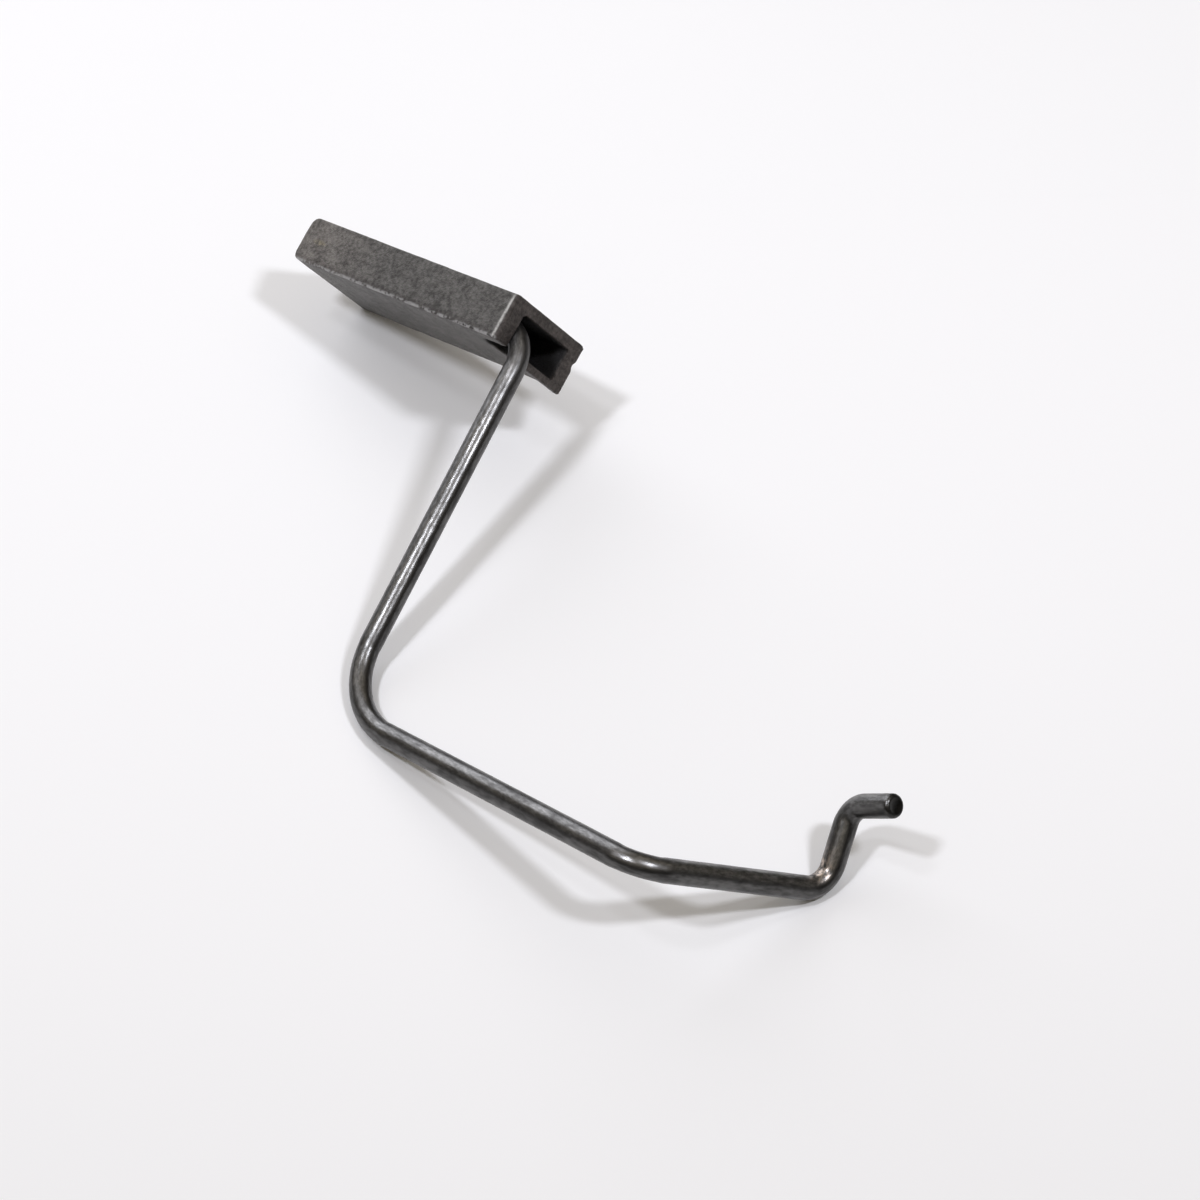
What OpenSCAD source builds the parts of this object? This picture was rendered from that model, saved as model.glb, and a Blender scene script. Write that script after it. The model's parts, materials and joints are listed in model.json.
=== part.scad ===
// Bent round wire with a slotted steel block on one end.
// The part lies as it comes to rest: on two of its bends and one corner of the block.

/* [Wire] */
// Diameter of the round wire
wire_d = 2; // [1.4:0.1:2.6]
// Length of wire held in the block's bore
tail_len = 8; // [4:0.5:12]
// Straight part of the arm that leaves the block sideways
side_arm_len = 26.5; // [18:0.1:36]
// Straight part of the arm that runs alongside the block
long_arm_len = 26.5; // [18:0.1:36]
// Straight part of the arm that drops to the hook
drop_arm_len = 13.5; // [9:0.1:18]
// Straight part of the hook's riser
riser_len = 3.3; // [2:0.1:6]
// Straight part of the hook's tip, up to its cut end
tip_len = 3.5; // [2:0.1:6]
// Rolled edge of the cut end
cut_edge = 0.2; // [0.1:0.05:0.4]
// How much thinner the wire is drawn in its bends
bend_thinning = 0.04; // [0.02:0.01:0.1]

/* [Bend angles] */
// Bend out of the block's slot
slot_bend = 83.5; // [70:0.5:95]
// Bend at the outer elbow
elbow_bend = 84.5; // [70:0.5:95]
// Bend down to the drop arm
knee_bend = 74.5; // [60:0.5:90]
// Bend up into the hook
heel_bend = 85.5; // [70:0.5:100]
// Bend out to the tip
tip_bend = 75; // [60:0.5:95]

/* [Bend radii] */
// Radius of the slot bend, on the wire's middle
slot_bend_r = 4.2; // [3.5:0.1:6]
// Radius of the elbow
elbow_r = 7; // [5:0.1:10]
// Radius of the knee
knee_r = 3.4; // [2.5:0.1:6]
// Radius of the heel
heel_r = 2.3; // [1.8:0.1:4]
// Radius of the tip bend
tip_bend_r = 2; // [1.6:0.1:3]

/* [Turns about the wire before each bend] */
// Turn before the slot bend
slot_turn = -4; // [-8:0.5:8]
// Turn before the elbow
elbow_turn = 180; // [170:0.5:190]
// Turn before the knee
knee_turn = -67.5; // [-90:0.5:-45]
// Turn before the heel
heel_turn = 84; // [70:0.5:100]
// Turn before the tip bend
tip_turn = 93; // [80:0.5:110]

/* [Block] */
// Length of the block
block_len = 28; // [24:0.5:40]
// Wall over the wire
top_wall = 1.85; // [1.2:0.05:3]
// Wall under the pocket
bottom_wall = 1.65; // [1:0.05:3]
// Wall behind the pocket
back_wall = 1.15; // [0.8:0.05:2]
// Wall in front of the pocket
front_wall = 0.75; // [0.6:0.05:2]
// Height of the pocket in the open end
pocket_h = 7; // [4:0.1:9]
// Depth of the pocket
pocket_depth = 12; // [8:0.5:14]
// Reach of the slot bend's corner past the open end
bend_reach = 0.8; // [0:0.1:1.5]
// Radius of the upright corners at the closed end
corner_r = 0.8; // [0.3:0.1:1.5]
// Radius of the lower back edge
edge_r = 0.5; // [0.2:0.1:1]

/* [Fit and rest] */
// Room between the wire and the back of the pocket, and each side of the slot
wire_gap = 0.1; // [0.05:0.05:0.3]
// Room between the wire and the front of the pocket
front_room = 0.4; // [0.1:0.05:0.8]
// Room that the slot leaves behind the bend
slot_room = 0.6; // [0.2:0.1:1.5]
// Brazing gap around the wire in its bore
braze_gap = 0.025; // [0.01:0.005:0.05]
// Heading of the block's length on the table
heading = -44; // [-180:1:180]

/* [Hidden] */
$fn = 64;
past = 1;
bend_lap = 0.1;
arc_steps = 24;
settle_steps = 8;
bend_wire_d = wire_d - bend_thinning;

// The wire's middle in the block is the X axis, and the block's open end is at X = 0
slot_w = wire_d + 2 * wire_gap;
pocket_w = wire_d + wire_gap + front_room;
block_back = wire_d / 2 + wire_gap + back_wall;
block_w = pocket_w + back_wall + front_wall;
block_front = block_back - block_w;
block_h = bottom_wall + pocket_h + top_wall;
block_top = slot_w / 2 + top_wall;
block_bottom = block_top - block_h;
bend_depth = slot_bend_r * tan(slot_bend / 2) - bend_reach;
slot_depth = bend_depth + slot_room;
bore_depth = pocket_depth + tail_len;
tail_run = bore_depth - bend_depth;

// One row for each bend: straight run before it, turn, angle and radius
rows = [
    [tail_run, slot_turn, slot_bend, slot_bend_r],
    [side_arm_len, elbow_turn, elbow_bend, elbow_r],
    [long_arm_len, knee_turn, knee_bend, knee_r],
    [drop_arm_len, heel_turn, heel_bend, heel_r],
    [riser_len, tip_turn, tip_bend, tip_bend_r],
];
last_row = len(rows) - 1;
elbow = 1;
heel = 3;

// Steps along the wire, which runs along X and bends towards -Y
function run_step(length) = [[1, 0, 0, length], [0, 1, 0, 0], [0, 0, 1, 0], [0, 0, 0, 1]];
function turn_step(a) = [[1, 0, 0, 0], [0, cos(a), -sin(a), 0], [0, sin(a), cos(a), 0], [0, 0, 0, 1]];
function bend_step(a, r) =
    [[cos(a), sin(a), 0, r * sin(a)], [-sin(a), cos(a), 0, r * cos(a) - r], [0, 0, 1, 0], [0, 0, 0, 1]];
function to_bend(row) = run_step(row[0]) * turn_step(row[1]);
function past_bend(row) = to_bend(row) * bend_step(row[2], row[3]);
function starts(i, frame) =
    i > last_row ? [frame] : concat([frame], starts(i + 1, frame * past_bend(rows[i])));
run_frames = starts(0, run_step(-bore_depth));
bend_frames = [for (i = [0:last_row]) run_frames[i] * to_bend(rows[i])];

// A point or a direction of one frame, seen from the frame around it
function place(frame, p) = let (q = frame * [p.x, p.y, p.z, 1]) [q.x, q.y, q.z];
function aim(frame, v) = let (q = frame * [v.x, v.y, v.z, 0]) [q.x, q.y, q.z];
function unit(v) = v / norm(v);

// Lowest points of a bend and of the block, for a table whose upward direction is n
function bend_foot(i, n) =
    let (
        axis = aim(bend_frames[i], [0, 0, 1]),
        middle = place(bend_frames[i], [0, -rows[i][3], 0])
    )
    middle + rows[i][3] * unit(axis * (axis * n) - n) - bend_wire_d / 2 * n;
function block_foot(n) =
    [corner_r - block_len, block_front + corner_r, block_bottom] + corner_r * unit([-n.x, -n.y, 0]);

// The table's upward direction, tried again until all three feet touch
function table_up(block, a, b) = unit(cross(a - block, b - block));
function settled(n, steps) =
    steps == 0 ? n : settled(table_up(block_foot(n), bend_foot(elbow, n), bend_foot(heel, n)), steps - 1);
up = settled(unit([1, 1, 2]), settle_steps);
ahead = unit([1, 0, 0] - up.x * up);
beside = cross(up, ahead);
level = [concat(ahead, 0), concat(beside, 0), concat(up, 0), [0, 0, 0, 1]];
spin = [[cos(heading), -sin(heading), 0, 0], [sin(heading), cos(heading), 0, 0], [0, 0, 1, 0], [0, 0, 0, 1]];
lying = spin * level;

// Ranges that the lying wire and block take up, for centring them on the origin
function wire_range(frame, p, along, d) =
    let (
        q = place(lying, place(frame, p)),
        v = aim(lying, aim(frame, along)),
        side = [for (k = [0:2]) d / 2 * sqrt(max(0, 1 - v[k] * v[k]))]
    )
    [q - side, q + side];
function bend_range(i, a) =
    let (r = rows[i][3])
    wire_range(bend_frames[i], [r * sin(a), r * cos(a) - r, 0], [cos(a), -sin(a), 0], bend_wire_d);
function corner_point(side, a, z) =
    [
        corner_r * cos(a) + corner_r - block_len,
        side > 0 ? block_back - corner_r + corner_r * sin(a) : block_front + corner_r - corner_r * sin(a),
        z
    ];
bend_ranges = [for (i = [0:last_row], s = [0:arc_steps]) bend_range(i, rows[i][2] * s / arc_steps)];
tip_range = wire_range(run_frames[last_row + 1], [tip_len - cut_edge, 0, 0], [1, 0, 0], wire_d);
levels = [block_bottom, block_top];
closed_end = [for (z = levels, y = [-1, 1], s = [0:arc_steps]) corner_point(y, 90 + 90 * s / arc_steps, z)];
open_end = [for (z = levels, y = [block_front, block_back]) [0, y, z]];
block_ranges = [for (p = concat(closed_end, open_end)) let (q = place(lying, p)) [q, q]];
ranges = concat(bend_ranges, [tip_range], block_ranges);
low = [for (k = [0:2]) min([for (r = ranges) r[0][k]])];
high = [for (k = [0:2]) max([for (r = ranges) r[1][k]])];

// Moves a shape from the block's own frame to where it lies on the table
module lay() {
    translate([-(low.x + high.x) / 2, -(low.y + high.y) / 2, -low.z])
        multmatrix(lying)
            children();
}

// Straight round rod along X
module rod(length, d) {
    rotate([0, 90, 0])
        cylinder(h = length, d = d);
}

// Round rod bent through an angle towards -Y, with both ends lapped into the straight wire
module bent_rod(angle, r) {
    lap = bend_lap / r * 180 / PI;
    translate([0, -r, 0])
        rotate([0, 0, 90 - angle - lap])
            rotate_extrude(angle = angle + 2 * lap)
                translate([r, 0])
                    circle(d = bend_wire_d);
}

// Cut end of the wire, with its edge rolled over
module cut_end() {
    translate([-cut_edge, 0, 0])
        rotate([0, 90, 0])
            cylinder(h = cut_edge, d1 = wire_d, d2 = wire_d - 2 * cut_edge);
}

module wire_form() {
    color([0.2, 0.2, 0.21])
        lay() {
            for (i = [0:last_row]) {
                multmatrix(run_frames[i])
                    rod(rows[i][0], wire_d);
                multmatrix(bend_frames[i])
                    bent_rod(rows[i][2], rows[i][3]);
            }
            multmatrix(run_frames[last_row + 1]) {
                rod(tip_len - cut_edge, wire_d);
                translate([tip_len, 0, 0])
                    cut_end();
            }
        }
}

// Section of the block, with its lower back edge rounded
module block_section() {
    difference() {
        translate([block_front, block_bottom])
            square([block_w, block_h]);
        translate([block_back - edge_r, block_bottom - past])
            square([edge_r + past, edge_r + past]);
    }
    translate([block_back - edge_r, block_bottom + edge_r])
        circle(r = edge_r);
}

// Plan of the block, with round corners at its closed end
module block_plan() {
    translate([corner_r - block_len, block_front])
        square([block_len - corner_r, block_w]);
    translate([-block_len, block_front + corner_r])
        square([block_len, block_w - 2 * corner_r]);
    for (y = [block_front + corner_r, block_back - corner_r])
        translate([corner_r - block_len, y])
            circle(r = corner_r);
}

// Slot in the front wall that the wire bends out through, with a round end
module wire_slot() {
    slot_reach = past - block_front;
    translate([slot_w / 2 - slot_depth, 0, 0])
        rotate([90, 0, 0])
            cylinder(h = slot_reach, d = slot_w);
    translate([slot_w / 2 - slot_depth, -slot_reach, -slot_w / 2])
        cube([slot_depth - slot_w / 2 + past, slot_reach, slot_w]);
}

module end_block() {
    color([0.27, 0.27, 0.27])
        lay()
            difference() {
                intersection() {
                    translate([-block_len, 0, 0])
                        rotate([90, 0, 90])
                            linear_extrude(block_len)
                                block_section();
                    translate([0, 0, block_bottom])
                        linear_extrude(block_h)
                            block_plan();
                }
                translate([-pocket_depth, block_front + front_wall, block_bottom + bottom_wall])
                    cube([pocket_depth + past, pocket_w, pocket_h]);
                translate([-bore_depth, 0, 0])
                    rod(bore_depth, wire_d + 2 * braze_gap);
                wire_slot();
            }
}

wire_form();
end_block();
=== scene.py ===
import json
import math

import bmesh
import bpy
import numpy as np
from mathutils import Matrix, Vector, noise


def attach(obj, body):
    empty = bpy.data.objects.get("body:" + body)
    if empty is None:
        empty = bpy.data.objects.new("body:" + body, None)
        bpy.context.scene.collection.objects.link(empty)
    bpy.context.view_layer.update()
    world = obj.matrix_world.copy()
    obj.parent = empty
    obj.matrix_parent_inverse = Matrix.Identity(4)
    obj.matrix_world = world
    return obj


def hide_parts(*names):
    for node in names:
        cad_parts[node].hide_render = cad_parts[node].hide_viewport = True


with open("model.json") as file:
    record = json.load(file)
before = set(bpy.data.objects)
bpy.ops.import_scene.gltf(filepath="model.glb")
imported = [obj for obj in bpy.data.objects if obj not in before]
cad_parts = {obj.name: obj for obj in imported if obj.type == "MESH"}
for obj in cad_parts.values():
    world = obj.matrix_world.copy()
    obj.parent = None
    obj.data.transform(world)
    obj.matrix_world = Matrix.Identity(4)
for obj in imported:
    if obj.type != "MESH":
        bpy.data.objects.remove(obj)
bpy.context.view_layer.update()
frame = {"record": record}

MM = 0.001

# Sizes of the wire and the block, in millimetres and degrees
WIRE_D = 2.0
BLOCK_LEN = 28.0
TOP_WALL, BOTTOM_WALL, BACK_WALL, FRONT_WALL = 1.85, 1.65, 1.15, 0.75
POCKET_H, POCKET_DEPTH = 7.0, 12.0
WIRE_GAP, FRONT_ROOM, SLOT_ROOM = 0.1, 0.4, 0.6
BEND_REACH = 0.8
CORNER_R, EDGE_R = 0.8, 0.5
TAIL_IN_BORE = 0.5
TIP_LEN = 3.5
SIDE_ARM, LONG_ARM, DROP_ARM, RISER = 26.5, 26.5, 13.5, 3.3
SLOT_BEND, SLOT_BEND_R = 83.5, 4.2

wire_r = WIRE_D / 2
slot_w = WIRE_D + 2 * WIRE_GAP
pocket_w = WIRE_D + WIRE_GAP + FRONT_ROOM
block_back = wire_r + WIRE_GAP + BACK_WALL
block_front = block_back - BACK_WALL - pocket_w - FRONT_WALL
block_top = slot_w / 2 + TOP_WALL
block_bottom = block_top - TOP_WALL - POCKET_H - BOTTOM_WALL
pocket_front, pocket_back = block_front + FRONT_WALL, block_back - BACK_WALL
pocket_floor, pocket_top = block_bottom + BOTTOM_WALL, slot_w / 2
bend_depth = SLOT_BEND_R * math.tan(math.radians(SLOT_BEND / 2)) - BEND_REACH
slot_depth = bend_depth + SLOT_ROOM

# Straight run before each bend, turn about the wire, bend angle and bend radius
BENDS = [
    (POCKET_DEPTH + TAIL_IN_BORE - bend_depth, -4.0, SLOT_BEND, SLOT_BEND_R),
    (SIDE_ARM, 180.0, 84.5, 7.0),
    (LONG_ARM, -67.5, 74.5, 3.4),
    (DROP_ARM, 84.0, 85.5, 2.3),
    (RISER, 93.0, 75.0, 2.0),
]


def block_placement():
    """Where the block's own frame lies, from the flat faces that the record names."""
    faces = {m["name"]: m for m in frame["record"]["mounts"]}
    up = Vector(faces["block_top"]["axis"]).normalized()
    back = Vector(faces["block_back"]["axis"]).normalized()
    ahead = back.cross(up)
    middle = Vector((-BLOCK_LEN / 2, (block_front + block_back) / 2, block_top)) * MM
    turn = Matrix((ahead, back, up)).transposed()
    corner = Vector(faces["block_top"]["pos_m"]) - turn @ middle
    return Matrix.Translation(corner) @ turn.to_4x4()


PLACEMENT = block_placement()


def smooth_step(low, high, x):
    t = np.clip((np.asarray(x, float) - low) / (high - low), 0, 1)
    return t * t * (3 - 2 * t)


def noise_at(points, scale, seed, octaves=1):
    """Smooth noise from about -1 to 1 at points in millimetres."""
    shift = Vector((seed * 7.31, seed * 3.17, seed * 5.77))
    found = [
        noise.fractal(Vector(p) / scale + shift, 1.0, 2.0, octaves) for p in points
    ]
    return np.array(found)


def add_value(mesh, name, values):
    """Keeps one number for each point of the mesh, for its material to read."""
    kept = mesh.attributes.new(name, "FLOAT", "POINT")
    kept.data.foreach_set("value", np.asarray(values, np.float32))


def add_vector(mesh, name, values):
    kept = mesh.attributes.new(name, "FLOAT_VECTOR", "POINT")
    kept.data.foreach_set("vector", np.asarray(values, np.float32).ravel())


def mesh_points(mesh):
    found = np.zeros(len(mesh.vertices) * 3, np.float32)
    mesh.vertices.foreach_get("co", found)
    return found.reshape(-1, 3).astype(float)


def place_piece(name, mesh, material, node):
    """Lays a mesh, made in millimetres in the block's frame, where its CAD node lies."""
    mesh.transform(PLACEMENT @ Matrix.Scale(MM, 4))
    mesh.materials.append(material)
    mesh.shade_smooth()
    piece = bpy.data.objects.new(name, mesh)
    bpy.context.scene.collection.objects.link(piece)
    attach(piece, "root")
    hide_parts(node)


# Block

VOXEL = 0.12
END_EDGE_BREAK = 0.5
BACK_EDGE_R = 0.3
FACE_DIP, FACE_LUMP = 0.03, 1.4
EDGE_WEAR, EDGE_LUMP, EDGE_BAND = 0.045, 1.7, (0.05, 0.45)
SKIN, FACE_FADE = 0.05, 0.3
POCKET_CORNER_R = 0.2
SLOT_END_GAP = 0.01
# MOUTH_FADE sets where the painted shade inside the pocket fades out towards the mouth.
MOUTH_FADE = (-0.1, -0.6)
# FRONT_SHADE is the reach of the painted shade along the top front edge.
END_LINE, FRONT_LINE, FRONT_SHADE = (0.05, 0.2), (0.12, 0.34), (0.3, 0.8)
SLOT_RIM = 0.12
RUB_AT, RUB_SIZE = (-25.6, 0.05), (1.1, 0.35)
NICK_AT, NICK_R, NICK_DEPTH = (0.0, 0.3), 0.45, 0.28


def box_mesh(low, high):
    bm = bmesh.new()
    bmesh.ops.create_cube(bm, size=1)
    size = Vector(high) - Vector(low)
    middle = (Vector(high) + Vector(low)) / 2
    bmesh.ops.scale(bm, vec=size, verts=bm.verts)
    bmesh.ops.translate(bm, vec=middle, verts=bm.verts)
    return bm


def edges_at(bm, places):
    """Edges whose middle has each of the given axis and value pairs."""
    found = []
    for e in bm.edges:
        mid = (e.verts[0].co + e.verts[1].co) / 2
        if all(abs(mid[axis] - value) < 1e-4 for axis, value in places):
            found.append(e)
    return found


def bevel(bm, edges, width, segments):
    bmesh.ops.bevel(
        bm, geom=edges, offset=width, segments=segments, profile=0.5, affect="EDGES"
    )


def scratch_object(name, bm):
    mesh = bpy.data.meshes.new(name)
    bm.to_mesh(mesh)
    bm.free()
    made = bpy.data.objects.new(name, mesh)
    bpy.context.scene.collection.objects.link(made)
    return made


def settled_mesh(obj, name):
    """The object's mesh with its modifiers applied, without the object."""
    bpy.context.view_layer.update()
    graph = bpy.context.evaluated_depsgraph_get()
    mesh = bpy.data.meshes.new_from_object(obj.evaluated_get(graph))
    mesh.name = name
    bpy.data.objects.remove(obj)
    return mesh


def block_blank():
    bm = box_mesh(
        (-BLOCK_LEN, block_front, block_bottom), (0, block_back, block_top)
    )
    far = [(0, -BLOCK_LEN)]
    bevel(bm, edges_at(bm, far + [(1, block_front)]), CORNER_R, 6)
    bevel(bm, edges_at(bm, far + [(1, block_back)]), CORNER_R, 6)
    bevel(bm, edges_at(bm, [(1, block_back), (2, block_bottom)]), EDGE_R, 4)
    bevel(bm, edges_at(bm, [(1, block_back), (2, block_top)]), BACK_EDGE_R, 3)
    bevel(bm, edges_at(bm, [(0, 0), (2, block_top)]), END_EDGE_BREAK, 3)
    return scratch_object("block_blank", bm)


def pocket_cutter():
    bm = box_mesh(
        (-POCKET_DEPTH, pocket_front, pocket_floor), (1, pocket_back, pocket_top)
    )
    long_edges = [
        e for e in bm.edges if abs(e.verts[0].co.x - e.verts[1].co.x) > 1
    ]
    bevel(bm, long_edges, POCKET_CORNER_R, 2)
    return scratch_object("pocket_cutter", bm)


def slot_cutter():
    bm = box_mesh(
        (-slot_depth, block_front - 1, -slot_w / 2), (1, 0, slot_w / 2)
    )
    inner = [
        e for e in edges_at(bm, [(0, -slot_depth)])
        if abs(e.verts[0].co.y - e.verts[1].co.y) > 0.5
    ]
    bevel(bm, inner, slot_w / 2 - SLOT_END_GAP, 6)
    return scratch_object("slot_cutter", bm)


def slotted_block(material):
    blank = block_blank()
    for cutter in (pocket_cutter(), slot_cutter()):
        cut = blank.modifiers.new(cutter.name, "BOOLEAN")
        cut.object = cutter
        cut.operation = "DIFFERENCE"
        cut.solver = "EXACT"
    remesh = blank.modifiers.new("even_mesh", "REMESH")
    remesh.mode = "VOXEL"
    remesh.voxel_size = VOXEL
    mesh = settled_mesh(blank, "slotted_block")
    for name in ("pocket_cutter", "slot_cutter"):
        bpy.data.objects.remove(bpy.data.objects[name])
    dress_block(mesh)
    place_piece("slotted_block", mesh, material, "end_block")


TONGUE_LEN = 5.0
TONGUE_FLARE = 0.55


def dress_block(mesh):
    """Bends the tongue, wears the edges, roughens the faces, and marks the finish,
    including where light and shade are painted on the colour.
    """
    p = mesh_points(mesh)
    x, y, z = p.T.copy()
    to_faces = np.sort(
        [
            np.minimum(abs(x), abs(x + BLOCK_LEN)),
            np.minimum(abs(y - block_front), abs(y - block_back)),
            np.minimum(abs(z - block_bottom), abs(z - block_top)),
        ],
        axis=0,
    )
    on_edge = 1 - smooth_step(*EDGE_BAND, to_faces[1])
    dip = FACE_DIP * (0.5 + 0.5 * noise_at(p, FACE_LUMP, 5, 2)).clip(0, 1)
    dip += EDGE_WEAR * on_edge * (0.4 + noise_at(p, EDGE_LUMP, 8, 2)).clip(0, 1)
    out = np.zeros(len(p) * 3, np.float32)
    mesh.vertex_normals.foreach_get("vector", out)
    p -= out.reshape(-1, 3) * dip[:, None]
    near = smooth_step(-TONGUE_LEN, 0, x) ** 2
    front_share = smooth_step(pocket_back, pocket_front, y)
    below = smooth_step(-slot_w / 2 + FACE_FADE, -slot_w / 2, z)
    p[:, 1] -= TONGUE_FLARE * near * front_share * below
    away = np.hypot(np.hypot(x - NICK_AT[0], y - NICK_AT[1]), z - block_bottom)
    in_nick = z < block_bottom + NICK_R
    p[:, 2] += NICK_DEPTH * (1 - smooth_step(0, NICK_R, away)) * in_nick
    mesh.vertices.foreach_set("co", p.astype(np.float32).ravel())
    mesh.update()
    add_vector(mesh, "in_block", p)
    # top_face and far_end mark where painted light brightens the top face towards the far
    # end.
    add_value(mesh, "top_face", smooth_step(block_top - FACE_FADE, block_top - SKIN, z))
    add_value(mesh, "front_face", smooth_step(pocket_front, block_front + 2 * SKIN, y))
    # Marks the near end face for painted shade.
    add_value(mesh, "painted_end_face_shade", smooth_step(-END_EDGE_BREAK, -2 * SKIN, x))
    add_value(mesh, "far_end", smooth_step(-BLOCK_LEN / 2, -BLOCK_LEN, x))
    # Painted shade: the insides of the pocket and slot are made near black, fading out
    # towards the mouth.
    inside = (y > pocket_front - SKIN) & (y < pocket_back + SKIN)
    inside &= (z > pocket_floor - SKIN) & (z < pocket_top + SKIN)
    inside &= x > -POCKET_DEPTH - SKIN
    in_slot = (y > block_front + SLOT_RIM) & (y < 0) & (abs(z) < slot_w / 2 + SKIN)
    in_slot &= x > -slot_depth - SKIN
    add_value(mesh, "pocket", (inside | in_slot) * smooth_step(*MOUTH_FADE, x))
    off_rub = np.hypot((x - RUB_AT[0]) / RUB_SIZE[0], (y - RUB_AT[1]) / RUB_SIZE[1])
    add_value(mesh, "rub", (1 - smooth_step(0.2, 1, off_rub)) * (z > 0))
    to_edge = np.hypot(x + END_EDGE_BREAK, z - block_top)
    add_value(mesh, "end_edge", 1 - smooth_step(*END_LINE, to_edge))
    to_edge = np.hypot(y - block_front, z - block_top)
    add_value(mesh, "front_edge", 1 - smooth_step(*FRONT_LINE, to_edge))
    # Marks the band of painted shade beside the top front edge.
    add_value(mesh, "front_shade", 1 - smooth_step(*FRONT_SHADE, to_edge))


# Wire

RING = 48
STEP = 0.14


def wire_line():
    """Points along the wire's middle, in the block's frame, and how far along each is."""
    at = Matrix.Translation((-POCKET_DEPTH - TAIL_IN_BORE, 0, 0))
    points, marks, along = [], [], 0.0
    for run, turn, angle, radius in BENDS:
        count = max(2, round(run / STEP))
        points += [at @ Vector((run * k / count, 0, 0)) for k in range(count)]
        at = at @ Matrix.Translation((run, 0, 0))
        at = at @ Matrix.Rotation(math.radians(turn), 4, "X")
        sweep = math.radians(angle)
        count = max(6, round(radius * sweep / STEP))
        marks.append((along + run, along + run + radius * sweep))
        along = marks[-1][1]
        for k in range(count):
            a = sweep * k / count
            bend = Vector((radius * math.sin(a), radius * (math.cos(a) - 1), 0))
            points.append(at @ bend)
        end = Vector((radius * math.sin(sweep), radius * (math.cos(sweep) - 1), 0))
        at = at @ Matrix.Translation(end) @ Matrix.Rotation(-sweep, 4, "Z")
    count = round(TIP_LEN / STEP)
    points += [at @ Vector((TIP_LEN * k / count, 0, 0)) for k in range(count + 1)]
    return np.array([tuple(p) for p in points]), marks


def carried_frames(points):
    """A side direction at each point, carried along the line without twist."""
    ahead = np.gradient(points, axis=0)
    ahead /= np.linalg.norm(ahead, axis=1)[:, None]
    side = np.cross(ahead[0], (0, 0, 1))
    side /= np.linalg.norm(side)
    sides = [side]
    for k in range(1, len(points)):
        side = side - ahead[k] * (side @ ahead[k])
        side = side / np.linalg.norm(side)
        sides.append(side)
    sides = np.array(sides)
    return ahead, sides, np.cross(ahead, sides)


TIP_ROLL, TIP_DROP = 0.35, 0.22
BEND_EASE, BEND_THINNING = 0.8, 0.04
WIRE_DIP, WIRE_LUMP, DRAWN_OUT = 0.009, 1.5, 0.35
END_DISH = ((0.6, 0.05), (0.4, 0.1), (0.2, 0.13))
# ROLL_SHADE is how dark the painted shade on the rolled tip rim gets.
ROLL_SHADE = 0.7
# Painted sheen: the band and side direction below put lighter steel on the side of the
# wire that faces up, where the lamp's highlight stripe falls.
PAINTED_SHEEN_BAND = (0.72, 0.98)
MATTE_REACH = 6.0
PAINTED_SHEEN_SIDE = Vector((-0.2, -0.15, 0.97))
PITS, PIT_R, PIT_DEPTH = 90, (0.16, 0.36), (0.01, 0.03)
HEEL = 3
SCUFF_REACH, SCUFF_CORE, SCUFF_SHIFT = 3.2, 0.4, 0.8
SCUFF_BAND = (0.2, 0.85)


def heel_scuff(line, along, spread, marks, count):
    """Where the hook's inner side is rubbed bare, for each point of the wire."""
    start, end = marks[HEEL]
    first, last = np.searchsorted(along, (start, end))
    centre = (line[first] + line[last]) / 2
    middle = line[(first + last) // 2]
    inward = (centre - middle) / np.linalg.norm(centre - middle)
    off = np.abs(along - (start + end) / 2 - SCUFF_SHIFT)
    near = smooth_step(SCUFF_REACH, SCUFF_CORE, off)
    rubbed = near[:, None] * smooth_step(*SCUFF_BAND, spread @ inward)
    found = np.zeros(count)
    found[:rubbed.size] = rubbed.ravel()
    return found


def pits(along, angle):
    """Depth of the small scattered pits at each step along and around the wire."""
    spread = np.random.default_rng(4)
    depth = np.zeros((len(along), RING))
    for _ in range(PITS):
        at, turn = spread.uniform(0, along[-1]), spread.uniform(0, 2 * math.pi)
        size, low = spread.uniform(*PIT_R), spread.uniform(*PIT_DEPTH)
        across = np.angle(np.exp(1j * (angle - turn))) * wire_r
        away = np.hypot((along - at)[:, None] / 1.6, across[None, :]) / size
        depth = np.maximum(depth, low * (1 - smooth_step(0, 1, away)))
    return depth


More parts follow.
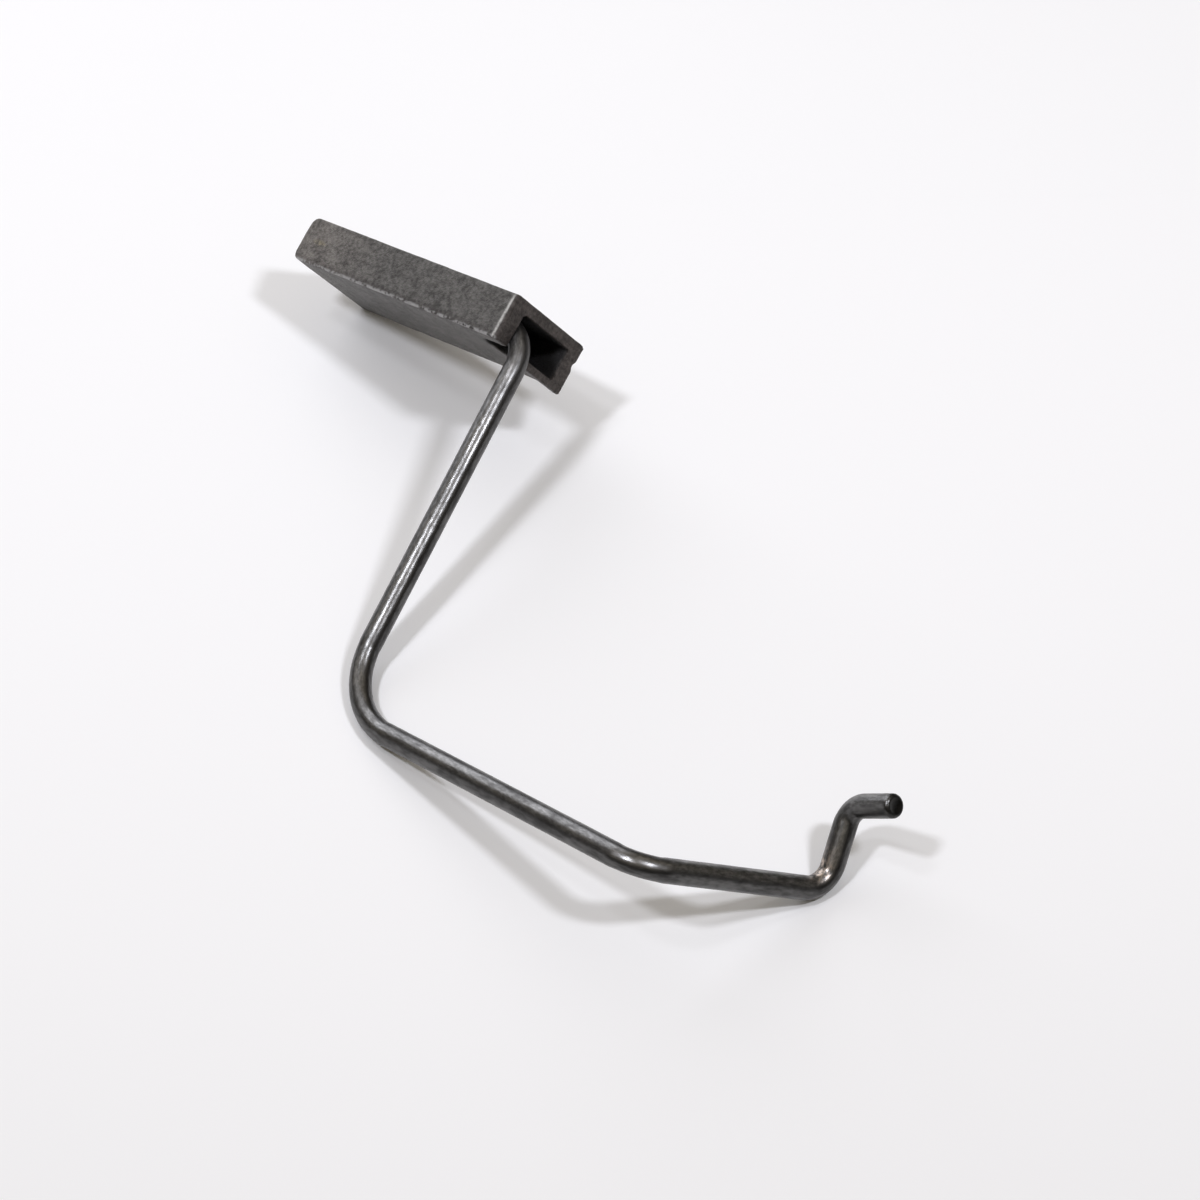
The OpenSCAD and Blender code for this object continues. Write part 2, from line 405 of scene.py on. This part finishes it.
def bent_wire(material):
    line, marks = wire_line()
    ahead, side, other = carried_frames(line)
    along = np.concatenate(
        ([0], np.cumsum(np.linalg.norm(np.diff(line, axis=0), axis=1)))
    )
    total = along[-1]
    angle = np.arange(RING) * 2 * math.pi / RING
    circle = np.cos(angle), np.sin(angle)
    to_end = total - along
    roll = np.clip(1 - to_end / TIP_ROLL, 0, 1)
    in_bend = np.zeros(len(line))
    for start, end in marks:
        in_bend += smooth_step(start, start + BEND_EASE, along) * smooth_step(
            end, end - BEND_EASE, along
        )
    radius = wire_r * (1 - TIP_DROP * roll ** 2.2 - BEND_THINNING * in_bend)
    spread = (
        side[:, None, :] * circle[0][None, :, None]
        + other[:, None, :] * circle[1][None, :, None]
    )
    straight = np.stack(
        [
            np.repeat(along, RING),
            np.tile(circle[0] * wire_r, len(line)),
            np.tile(circle[1] * wire_r, len(line)),
        ],
        axis=1,
    )
    uneven = noise_at(straight * (DRAWN_OUT, 1, 1), WIRE_LUMP, 3, 2)
    uneven = uneven.reshape(len(line), RING)
    dip = WIRE_DIP * (0.5 + 0.5 * uneven).clip(0, 1) + pits(along, angle)
    points = line[:, None, :] + spread * (radius[:, None] - dip)[:, :, None]
    verts = points.reshape(-1, 3)
    faces = []
    for i in range(len(line) - 1):
        for j in range(RING):
            k = (j + 1) % RING
            faces.append(
                (i * RING + j, i * RING + k, (i + 1) * RING + k, (i + 1) * RING + j)
            )
    last = (len(line) - 1) * RING
    extra, rows = [], [list(range(last, last + RING))]
    for share, depth in END_DISH:
        start = len(verts) + len(extra)
        for j in range(RING):
            extra.append(
                line[-1] - ahead[-1] * depth + spread[-1, j] * wire_r * share
            )
        rows.append(list(range(start, start + RING)))
    for inner, outer in zip(rows[1:], rows):
        for j in range(RING):
            k = (j + 1) % RING
            faces.append((outer[j], outer[k], inner[k], inner[j]))
    faces.append(tuple(rows[-1]))
    faces.append(tuple(reversed(range(RING))))
    verts = np.concatenate([verts, np.array(extra)])
    mesh = bpy.data.meshes.new("bent_wire")
    mesh.from_pydata(verts.tolist(), [], faces)
    mesh.update()
    straight = np.concatenate([straight] + [straight[last:last + RING]] * len(END_DISH))
    add_vector(mesh, "straight", straight)
    # Painted sheen: the side of the wire facing one fixed upward direction gets lighter
    # steel, to hold the lamp's highlight stripe.
    up = np.array(PLACEMENT.to_3x3().inverted() @ PAINTED_SHEEN_SIDE)
    up = up - ahead * (ahead @ up)[:, None]
    up /= np.linalg.norm(up, axis=1)[:, None]
    facing = np.einsum("ijk,ik->ij", spread, up).ravel()
    facing = np.concatenate([facing, np.zeros(len(verts) - len(facing))])
    add_value(mesh, "wear_and_painted_sheen", smooth_step(*PAINTED_SHEEN_BAND, facing))
    # Painted shade: the rolled rim of the tip darkens towards the end, and the end face
    # is made near black.
    dished = np.ones(len(verts) - last - RING)
    cut = np.concatenate([np.repeat(roll, RING) * ROLL_SHADE, dished])
    add_value(mesh, "painted_tip_shade", cut)
    add_value(mesh, "scuff", heel_scuff(line, along, spread, marks, len(verts)))
    start, end = marks[0]
    add_value(mesh, "mouth", smooth_step(end + MATTE_REACH, start, straight[:, 0]))
    place_piece("bent_wire", mesh, material, "wire_form")


# Finishes, with some painted light and shade


def socket(group, name, kind, way, value=None):
    made = group.interface.new_socket(name=name, in_out=way, socket_type=kind)
    if value is not None:
        made.default_value = value


def node_of(tree, kind, **values):
    made = tree.nodes.new(kind)
    for name, value in values.items():
        setattr(made, name, value)
    return made


def mottle_group():
    """Cloudy patches with finer flecks in them, as a mask from 0 to 1."""
    group = bpy.data.node_groups.new("oxide_mottle", "ShaderNodeTree")
    socket(group, "Vector", "NodeSocketVector", "INPUT")
    for name, value in (
        ("Patch Scale", 1.0), ("Fleck Scale", 5.0), ("Fleck Share", 0.4),
        ("Low", 0.4), ("High", 0.6),
    ):
        socket(group, name, "NodeSocketFloat", "INPUT", value)
    socket(group, "Mask", "NodeSocketFloat", "OUTPUT")
    ins = node_of(group, "NodeGroupInput")
    outs = node_of(group, "NodeGroupOutput")
    patch = node_of(group, "ShaderNodeTexNoise")
    fleck = node_of(group, "ShaderNodeTexNoise")
    mix = node_of(group, "ShaderNodeMix", data_type="FLOAT")
    ramp = node_of(group, "ShaderNodeMapRange", interpolation_type="SMOOTHSTEP")
    link = group.links.new
    for noise_node, scale in ((patch, "Patch Scale"), (fleck, "Fleck Scale")):
        noise_node.inputs["Detail"].default_value = 3
        link(ins.outputs["Vector"], noise_node.inputs["Vector"])
        link(ins.outputs[scale], noise_node.inputs["Scale"])
    link(ins.outputs["Fleck Share"], mix.inputs["Factor"])
    link(patch.outputs["Fac"], mix.inputs["A"])
    link(fleck.outputs["Fac"], mix.inputs["B"])
    link(mix.outputs["Result"], ramp.inputs["Value"])
    link(ins.outputs["Low"], ramp.inputs["From Min"])
    link(ins.outputs["High"], ramp.inputs["From Max"])
    link(ramp.outputs["Result"], outs.inputs["Mask"])
    return group


def new_material(name):
    material = bpy.data.materials.new(name)
    material.use_nodes = True
    tree = material.node_tree
    return material, tree, tree.nodes["Principled BSDF"]


def scaled_vector(tree, source, scale):
    mapping = node_of(tree, "ShaderNodeMapping")
    mapping.inputs["Scale"].default_value = scale
    tree.links.new(source, mapping.inputs["Vector"])
    return mapping.outputs["Vector"]


def placed_mottle(tree, group, vector, **values):
    made = node_of(tree, "ShaderNodeGroup")
    made.node_tree = group
    tree.links.new(vector, made.inputs["Vector"])
    for name, value in values.items():
        made.inputs[name.replace("_", " ")].default_value = value
    return made.outputs["Mask"]


def mixed_colour(tree, factor, a, b):
    mix = node_of(tree, "ShaderNodeMix", data_type="RGBA")
    tree.links.new(factor, mix.inputs["Factor"])
    for name, value in (("A", a), ("B", b)):
        target = next(s for s in mix.inputs if s.name == name and s.type == "RGBA")
        if isinstance(value, tuple):
            target.default_value = (*value, 1)
        else:
            tree.links.new(value, target)
    return next(s for s in mix.outputs if s.type == "RGBA")


def ranged(tree, source, low, high):
    node = node_of(tree, "ShaderNodeMapRange")
    tree.links.new(source, node.inputs["Value"])
    node.inputs["To Min"].default_value = low
    node.inputs["To Max"].default_value = high
    return node.outputs["Result"]


def value_of(tree, name, kind="Fac"):
    node = node_of(tree, "ShaderNodeAttribute", attribute_name=name)
    return node.outputs[kind]


def scaled_colour(tree, colour, factor, shade):
    """The colour times shade, as far as factor goes."""
    mix = node_of(tree, "ShaderNodeMix", data_type="RGBA", blend_type="MULTIPLY")
    tree.links.new(factor, mix.inputs["Factor"])
    a, b = [s for s in mix.inputs if s.type == "RGBA"]
    tree.links.new(colour, a)
    b.default_value = (*shade, 1)
    return next(s for s in mix.outputs if s.type == "RGBA")


def product(tree, a, b):
    node = node_of(tree, "ShaderNodeMath", operation="MULTIPLY")
    tree.links.new(a, node.inputs[0])
    tree.links.new(b, node.inputs[1])
    return node.outputs[0]


def bumped(tree, bsdf, height, depth):
    """Raises the surface by height times depth, in millimetres."""
    bump = node_of(tree, "ShaderNodeBump")
    bump.inputs["Distance"].default_value = depth * MM
    tree.links.new(height, bump.inputs["Height"])
    tree.links.new(bump.outputs["Normal"], bsdf.inputs["Normal"])


def wire_finish(mottle):
    material, tree, bsdf = new_material("worn_oxide_wire")
    straight = value_of(tree, "straight", "Vector")
    streaks = placed_mottle(
        tree, mottle, scaled_vector(tree, straight, (0.35, 1, 1)), Patch_Scale=0.8,
        Fleck_Scale=3.2, Fleck_Share=0.45, Low=0.33, High=0.68,
    )
    flecks = placed_mottle(
        tree, mottle, scaled_vector(tree, straight, (0.5, 1, 1)), Patch_Scale=3.2,
        Fleck_Scale=7.0, Fleck_Share=0.45, Low=0.38, High=0.66,
    )
    # Painted sheen: lighter steel on the upward side of the wire, mixed in below.
    wear_and_painted_sheen = value_of(tree, "wear_and_painted_sheen")
    colour = mixed_colour(tree, streaks, (0.05, 0.049, 0.048), (0.12, 0.118, 0.116))
    bare = mixed_colour(tree, flecks, (0.21, 0.208, 0.206), (0.36, 0.357, 0.354))
    colour = mixed_colour(
        tree, product(tree, wear_and_painted_sheen, ranged(tree, streaks, 0.35, 1)), colour, bare
    )
    scuff = product(tree, value_of(tree, "scuff"), flecks)
    colour = mixed_colour(tree, scuff, colour, (0.62, 0.52, 0.44))
    # Painted shade: the rolled tip rim and end face are made near black.
    colour = mixed_colour(tree, value_of(tree, "painted_tip_shade"), colour, (0.03, 0.029, 0.028))
    tree.links.new(colour, bsdf.inputs["Base Color"])
    rough = node_of(tree, "ShaderNodeMix", data_type="FLOAT")
    rough.inputs["B"].default_value = 0.5
    tree.links.new(value_of(tree, "mouth"), rough.inputs["Factor"])
    tree.links.new(ranged(tree, streaks, 0.36, 0.28), rough.inputs["A"])
    tree.links.new(rough.outputs["Result"], bsdf.inputs["Roughness"])
    bsdf.inputs["Metallic"].default_value = 1.0
    bumped(tree, bsdf, flecks, 0.003)
    return material


def block_finish(mottle):
    material, tree, bsdf = new_material("speckled_block_steel")
    place = value_of(tree, "in_block", "Vector")
    speckle = placed_mottle(
        tree, mottle, place, Patch_Scale=0.8, Fleck_Scale=2.8, Fleck_Share=0.6,
        Low=0.3, High=0.7,
    )
    grain = placed_mottle(
        tree, mottle, place, Patch_Scale=5.0, Fleck_Scale=11.0, Fleck_Share=0.4,
        Low=0.3, High=0.7,
    )
    broken = placed_mottle(
        tree, mottle, place, Patch_Scale=1.1, Fleck_Scale=3.0, Fleck_Share=0.5,
        Low=0.42, High=0.55,
    )
    colour = mixed_colour(tree, speckle, (0.058, 0.055, 0.052), (0.165, 0.158, 0.15))
    # Painted light: the top face is made lighter towards the far end.
    painted_far_top_light = product(tree, value_of(tree, "far_end"), value_of(tree, "top_face"))
    colour = scaled_colour(tree, colour, painted_far_top_light, (1.55, 1.5, 1.46))
    # Painted shade: the near end face is made darker.
    colour = scaled_colour(tree, colour, value_of(tree, "painted_end_face_shade"), (0.62, 0.56, 0.54))
    # Painted shade: a darker band along the top front edge.
    colour = scaled_colour(tree, colour, value_of(tree, "front_shade"), (0.72, 0.7, 0.7))
    rub = product(tree, value_of(tree, "rub"), speckle)
    colour = mixed_colour(tree, rub, colour, (0.36, 0.31, 0.19))
    wear_and_painted_sheen = product(tree, value_of(tree, "front_edge"), broken)
    colour = mixed_colour(tree, wear_and_painted_sheen, colour, (0.36, 0.355, 0.35))
    bright = product(tree, value_of(tree, "end_edge"), ranged(tree, broken, 0.55, 1))
    colour = mixed_colour(tree, bright, colour, (0.55, 0.54, 0.52))
    # Painted shade: near black inside the pocket and slot.
    colour = mixed_colour(tree, value_of(tree, "pocket"), colour, (0.035, 0.034, 0.034))
    tree.links.new(colour, bsdf.inputs["Base Color"])
    tree.links.new(
        ranged(tree, value_of(tree, "front_face"), 0.58, 0.5), bsdf.inputs["Roughness"]
    )
    bsdf.inputs["Metallic"].default_value = 0.7
    bumped(tree, bsdf, grain, 0.05)
    return material


# Table, lamps and camera

PHOTO_PIXELS = 1200
FOCAL_PIXELS = 2800
SENSOR = 36.0
VIEW_DISTANCE = 241.4
VIEW_ELEVATION = 49.2
VIEW_TARGET = Vector((2.245, -2.01, 0))
LEFT_LAMP = Vector((-149.1, -102.8, 360.0))
RIGHT_LAMP = Vector((160.9, -109.0, 334.8))
LAMP_AIM = Vector((0, 600, 0))
FLOOR_TONE = 0.9
TOP_LAMP = Vector((-132.0, -16.0, 378.0))
WINDOW = Vector((-200.0, 328.0, 234.0))
WINDOW_AIM = Vector((0, -400, 0))
LEFT_SHARE, LEFT_SIZE = 0.28, 50.0
RIGHT_SHARE, RIGHT_SIZE = 0.31, 55.0
TOP_SHARE, TOP_SIZE = 0.06, 60.0
WINDOW_SHARE, WINDOW_SIZE = 0.19, 450.0
LAMP_TINT = (0.98, 1.0, 1.085)
WINDOW_TINT = (0.98, 1.0, 1.07)
FLOOR_R, FLOOR_SIDES, FLOOR_ROUGHNESS = 3000.0, 96, 0.9
CLIP_NEAR, CLIP_FAR = 10.0, 10000.0
SKY_RISE = (0.2, 0.8)
NEAR_FLOOR_R, FAR_FLOOR_R = 90.0, 260.0
FAR_TONE = (0.93, 0.93, 0.945)
HORIZON_TONE = (0.05, 0.045, 0.037)
SKY_TONE = (0.35, 0.31, 0.25)


def set_camera():
    data = bpy.data.cameras.new("camera")
    data.sensor_fit = "HORIZONTAL"
    data.sensor_width = SENSOR
    data.lens = SENSOR * FOCAL_PIXELS / PHOTO_PIXELS
    data.clip_start, data.clip_end = CLIP_NEAR * MM, CLIP_FAR * MM
    camera = bpy.data.objects.new("camera", data)
    bpy.context.scene.collection.objects.link(camera)
    rise = math.radians(VIEW_ELEVATION)
    back = Vector((0, -math.cos(rise), math.sin(rise)))
    camera.location = (VIEW_TARGET + back * VIEW_DISTANCE) * MM
    camera.rotation_euler = (-back).to_track_quat("-Z", "Y").to_euler()
    bpy.context.scene.camera = camera


def set_lamp(name, place, target, share, size, tint):
    """A round lamp that gives a level white floor the stated share of its light."""
    data = bpy.data.lights.new(name, "AREA")
    data.shape = "DISK"
    data.size = size * MM
    data.color = tint
    away = (place - VIEW_TARGET) * MM
    aim = (target - place).normalized()
    slope = away.normalized().z * aim.dot(-away.normalized())
    data.energy = share * math.pi ** 2 * away.length_squared / slope
    lamp = bpy.data.objects.new(name, data)
    bpy.context.scene.collection.objects.link(lamp)
    lamp.location = place * MM
    lamp.rotation_euler = aim.to_track_quat("-Z", "Y").to_euler()


def set_world():
    world = bpy.data.worlds.new("studio")
    bpy.context.scene.world = world
    world.use_nodes = True
    tree = world.node_tree
    ground = tree.nodes["Background"]
    way = node_of(tree, "ShaderNodeTexCoord")
    split = node_of(tree, "ShaderNodeSeparateXYZ")
    rise = node_of(tree, "ShaderNodeMapRange")
    rise.inputs["From Min"].default_value = SKY_RISE[0]
    rise.inputs["From Max"].default_value = SKY_RISE[1]
    tree.links.new(way.outputs["Generated"], split.inputs["Vector"])
    tree.links.new(split.outputs["Z"], rise.inputs["Value"])
    sky = mixed_colour(tree, rise.outputs["Result"], HORIZON_TONE, SKY_TONE)
    tree.links.new(sky, ground.inputs["Color"])


def floor_finish():
    material, tree, bsdf = new_material("pale_floor")
    bsdf.inputs["Base Color"].default_value = (FLOOR_TONE, FLOOR_TONE, FLOOR_TONE, 1)
    bsdf.inputs["Roughness"].default_value = FLOOR_ROUGHNESS
    bsdf.inputs["Specular IOR Level"].default_value = 0
    away = node_of(tree, "ShaderNodeVectorMath", operation="LENGTH")
    place = node_of(tree, "ShaderNodeNewGeometry")
    far = node_of(tree, "ShaderNodeMapRange", interpolation_type="SMOOTHSTEP")
    far.inputs["From Min"].default_value = NEAR_FLOOR_R * MM
    far.inputs["From Max"].default_value = FAR_FLOOR_R * MM
    path = node_of(tree, "ShaderNodeLightPath")
    seen = node_of(tree, "ShaderNodeMath", operation="MAXIMUM")
    seen_through = node_of(tree, "ShaderNodeMath", operation="MAXIMUM")
    share = node_of(tree, "ShaderNodeMath", operation="MULTIPLY")
    white = node_of(tree, "ShaderNodeEmission")
    white.inputs["Color"].default_value = (*FAR_TONE, 1)
    blend = node_of(tree, "ShaderNodeMixShader")
    link = tree.links.new
    link(place.outputs["Position"], away.inputs[0])
    link(away.outputs["Value"], far.inputs["Value"])
    link(path.outputs["Is Camera Ray"], seen.inputs[0])
    link(path.outputs["Is Glossy Ray"], seen.inputs[1])
    link(seen.outputs[0], seen_through.inputs[0])
    link(path.outputs["Is Transmission Ray"], seen_through.inputs[1])
    link(far.outputs["Result"], share.inputs[0])
    link(seen_through.outputs[0], share.inputs[1])
    link(share.outputs[0], blend.inputs["Fac"])
    link(bsdf.outputs[0], blend.inputs[1])
    link(white.outputs[0], blend.inputs[2])
    link(blend.outputs[0], tree.nodes["Material Output"].inputs["Surface"])
    return material


def set_floor():
    bm = bmesh.new()
    bmesh.ops.create_circle(
        bm, cap_ends=True, radius=FLOOR_R * MM, segments=FLOOR_SIDES
    )
    mesh = bpy.data.meshes.new("floor")
    bm.to_mesh(mesh)
    bm.free()
    mesh.materials.append(floor_finish())
    floor = bpy.data.objects.new("floor", mesh)
    bpy.context.scene.collection.objects.link(floor)


set_camera()
set_lamp("left_lamp", LEFT_LAMP, LAMP_AIM, LEFT_SHARE, LEFT_SIZE, LAMP_TINT)
set_lamp("right_lamp", RIGHT_LAMP, LAMP_AIM, RIGHT_SHARE, RIGHT_SIZE, LAMP_TINT)
set_lamp("top_lamp", TOP_LAMP, LAMP_AIM, TOP_SHARE, TOP_SIZE, LAMP_TINT)
set_lamp("window", WINDOW, WINDOW_AIM, WINDOW_SHARE, WINDOW_SIZE, WINDOW_TINT)
set_world()
set_floor()
mottle = mottle_group()
slotted_block(block_finish(mottle))
bent_wire(wire_finish(mottle))

bpy.context.scene.view_settings.view_transform = "Standard"
